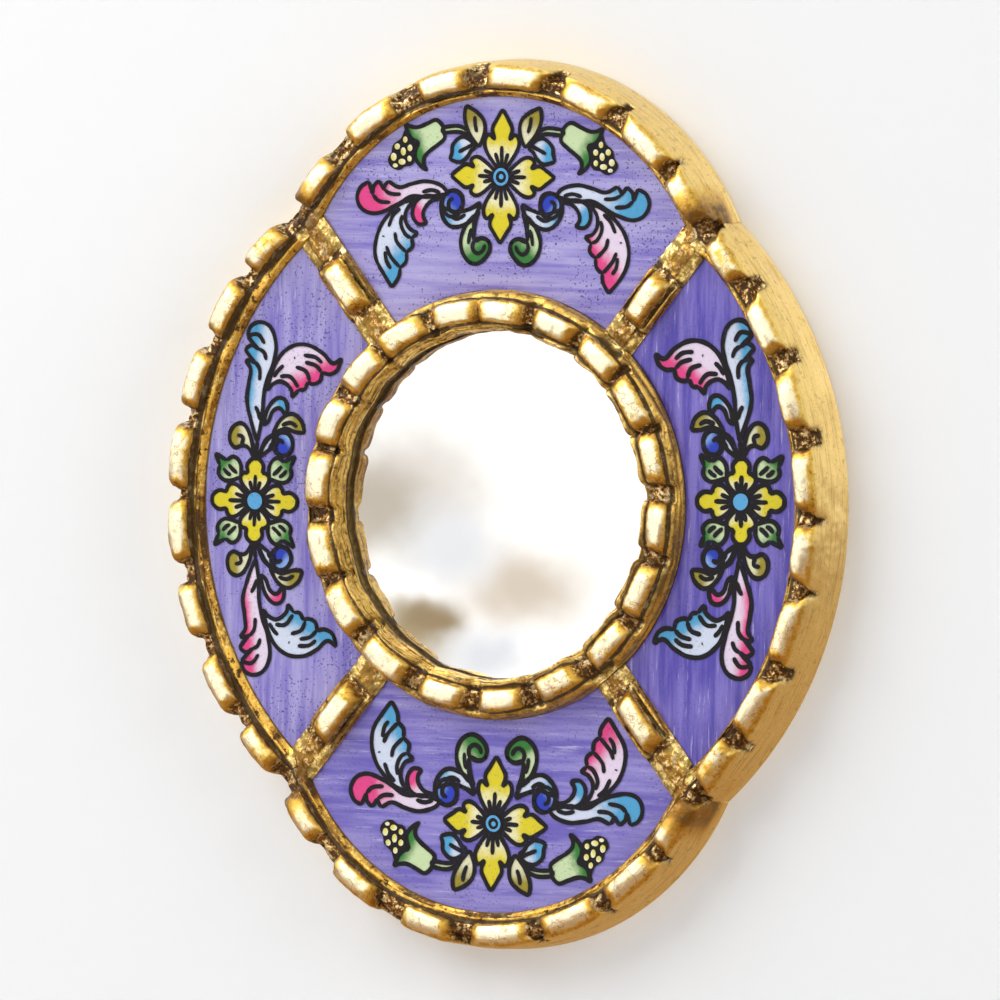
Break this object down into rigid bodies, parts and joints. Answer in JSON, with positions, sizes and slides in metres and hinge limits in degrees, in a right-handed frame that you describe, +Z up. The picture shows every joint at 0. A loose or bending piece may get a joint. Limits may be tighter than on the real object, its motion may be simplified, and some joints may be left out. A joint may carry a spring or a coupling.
{
  "type": "painted glass wall mirror",
  "caption": "Round wall mirror in a carved, gilded, lobed wooden frame with reverse-painted flower panes and a ring hanger on its back.",
  "frame": {"origin": "middle of the flat back, on the wall plane, at the centre of the mirror", "axes": "+Z up, +Y into the wall, -Y out of the mirror's face, +X to the right as seen from the front"},
  "size_m": [0.253, 0.025, 0.3],
  "materials": {
    "gilded_wood": "carved wood under worn gold leaf with dark brown patina in the cuts",
    "painted_glass": "clear glass painted violet on its back with flowers and scrolls",
    "mirror_glass": "silvered glass",
    "board_wood": "plain sawn board, stained brown",
    "hanger_metal": "brassed steel"
  },
  "bodies": {
    "frame": {"rim_top": "gilded_wood", "rim_bottom": "gilded_wood", "rim_left": "gilded_wood", "rim_right": "gilded_wood", "spoke_top_left": "gilded_wood", "spoke_top_right": "gilded_wood", "spoke_bottom_left": "gilded_wood", "spoke_bottom_right": "gilded_wood", "inner_ring": "gilded_wood", "pane_top": "painted_glass", "pane_bottom": "painted_glass", "pane_left": "painted_glass", "pane_right": "painted_glass", "mirror_plate": "mirror_glass", "base_board": "board_wood", "hanger_strap": "hanger_metal", "hanger_screws": "hanger_metal"},
    "hanger_ring": {"hanger_ring": "hanger_metal"}
  },
  "joints": [
    {"name": "ring_swing", "type": "hinge", "parent": "frame", "child": "hanger_ring", "pos_m": [0, -0.0031, 0.095], "axis": [1, 0, 0], "range_deg": [0, 180]}
  ]
}
